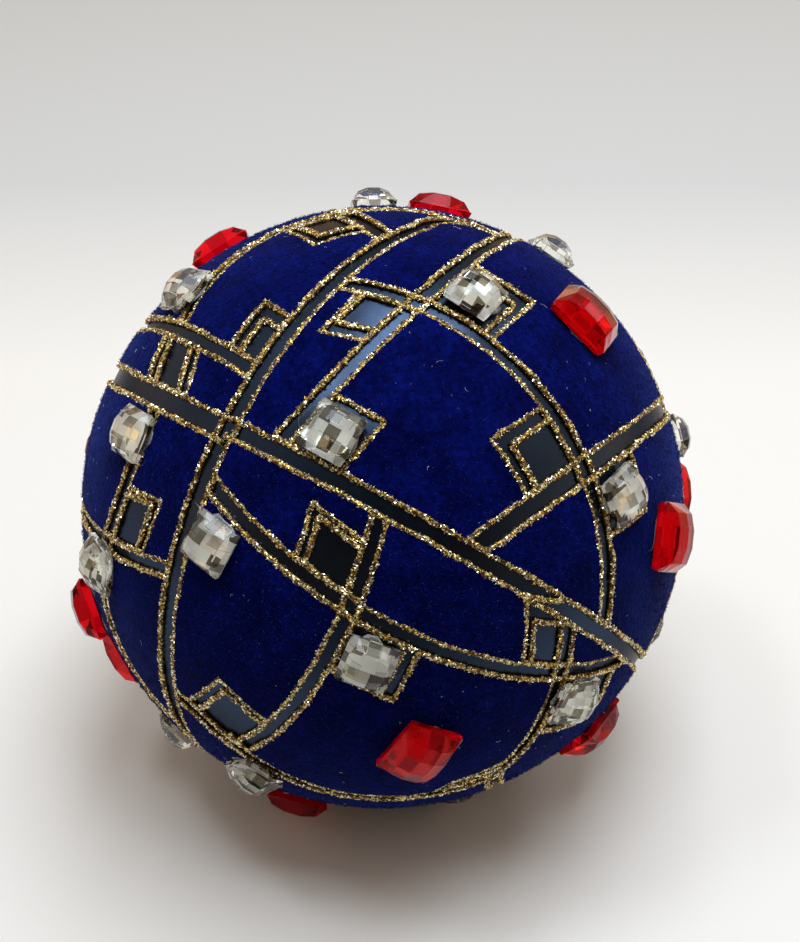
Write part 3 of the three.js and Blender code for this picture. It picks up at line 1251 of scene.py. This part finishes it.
def place_camera():
    """Puts the camera where the ball fills the same circle as in the photograph."""
    focal = BALL_IMAGE_RADIUS / math.tan(math.asin(1 / CAMERA_RADII))
    aside, above = BALL_IMAGE_X - PHOTO_WIDTH / 2, PHOTO_HEIGHT / 2 - BALL_IMAGE_Y
    toward = -Vector((aside / focal, above / focal, -1)).normalized()
    right = Vector((0, 1, 0)).cross(toward).normalized()
    from_camera = Matrix((right, toward.cross(right), toward))
    to_part = Matrix((VIEW_RIGHT, VIEW_UP, VIEW_TOWARD)).transposed()
    data = bpy.data.cameras.new("camera")
    data.sensor_width = SENSOR
    data.lens = SENSOR * focal / PHOTO_HEIGHT
    data.clip_start = 0.01
    camera = bpy.data.objects.new("camera", data)
    turn = (to_part @ from_camera).to_4x4()
    camera.matrix_world = Matrix.Translation(CENTRE + VIEW_TOWARD * CAMERA_RADII * VELVET_RADIUS) @ turn
    bpy.context.scene.collection.objects.link(camera)
    bpy.context.scene.camera = camera


def hang(lamp):
    data = bpy.data.lights.new(lamp.name, "AREA")
    data.shape, data.size, data.size_y = "RECTANGLE", lamp.width, lamp.depth
    data.energy, data.color = lamp.watts, lamp.tint
    light = bpy.data.objects.new(lamp.name, data)
    light.location = lamp.place
    light.rotation_euler = (Vector(lamp.target) - Vector(lamp.place)).to_track_quat("-Z", "Y").to_euler()
    bpy.context.scene.collection.objects.link(light)


def light_room():
    """The soft light of the room: warm and strong near the level, and weaker from in front."""
    world = bpy.data.worlds.new("studio")
    world.use_nodes = True
    room = Nodes(world.node_tree)
    way = room.put(room.add("SeparateXYZ"), Vector=room.add("TexCoord").outputs["Generated"]).outputs
    open_side = room.spread(way["Y"], -0.8, -0.1, 0.12, 1.0)
    tint = room.mix(room.spread(way["Z"], 0.0, 0.6), colour(1.0, 0.66, 0.37), colour(1.0, 0.92, 0.82))
    strength = room.product(open_side, room.spread(way["Z"], 0.05, 0.4, 1.35, 0.56))
    room.put(world.node_tree.nodes["Background"], Color=tint, Strength=strength)
    bpy.context.scene.world = world


class ORNAMENT_OT_stage(bpy.types.Operator):
    """Lays the pale floor and sets the lights and the camera."""

    bl_idname = "ornament.stage"
    bl_label = "Floor, lights and camera"

    def execute(self, context):
        bm = bmesh.new()
        bmesh.ops.create_circle(bm, cap_ends=True, segments=96, radius=FLOOR_RADIUS)
        bmesh.ops.inset_region(bm, faces=bm.faces[:], thickness=0.5, use_boundary=True)
        mesh = mesh_of(bm, "floor")
        mesh.materials.append(floor_finish())
        floor = bpy.data.objects.new("floor", mesh)
        context.scene.collection.objects.link(floor)
        light_room()
        for lamp in LAMPS:
            hang(lamp)
        context.scene.view_settings.view_transform = "Standard"
        place_camera()
        return {"FINISHED"}


OPERATORS = (
    ORNAMENT_OT_lacquer_ball,
    ORNAMENT_OT_velvet,
    ORNAMENT_OT_pile,
    ORNAMENT_OT_glitter_glue,
    ORNAMENT_OT_glitter_flakes,
    ORNAMENT_OT_clear_stones,
    ORNAMENT_OT_red_stones,
    ORNAMENT_OT_glue,
    ORNAMENT_OT_lint,
    ORNAMENT_OT_stage,
)


class ORNAMENT_PT_sidebar(bpy.types.Panel):
    """Lists the ornament's sizes, looks and pieces."""

    bl_idname = "ORNAMENT_PT_sidebar"
    bl_label = "Velvet ornament ball"
    bl_space_type = "VIEW_3D"
    bl_region_type = "UI"
    bl_category = "Ornament"

    def draw(self, context):
        for group in (context.scene.ornament_sizes, context.scene.ornament_looks):
            box = self.layout.box()
            for key in group.bl_rna.properties.keys():
                if key not in ("rna_type", "name"):
                    box.prop(group, key)
        for operator in OPERATORS:
            self.layout.operator(operator.bl_idname)


CLASSES = (OrnamentSizes, OrnamentLooks, *OPERATORS, ORNAMENT_PT_sidebar)


def register():
    for item in CLASSES:
        bpy.utils.register_class(item)
    bpy.types.Scene.ornament_sizes = bpy.props.PointerProperty(type=OrnamentSizes)
    bpy.types.Scene.ornament_looks = bpy.props.PointerProperty(type=OrnamentLooks)


def unregister():
    del bpy.types.Scene.ornament_sizes, bpy.types.Scene.ornament_looks
    for item in reversed(CLASSES):
        bpy.utils.unregister_class(item)


def main():
    register()
    for operator in OPERATORS:
        getattr(bpy.ops.ornament, operator.bl_idname.split(".")[1])()


if __name__ == "__main__":
    main()
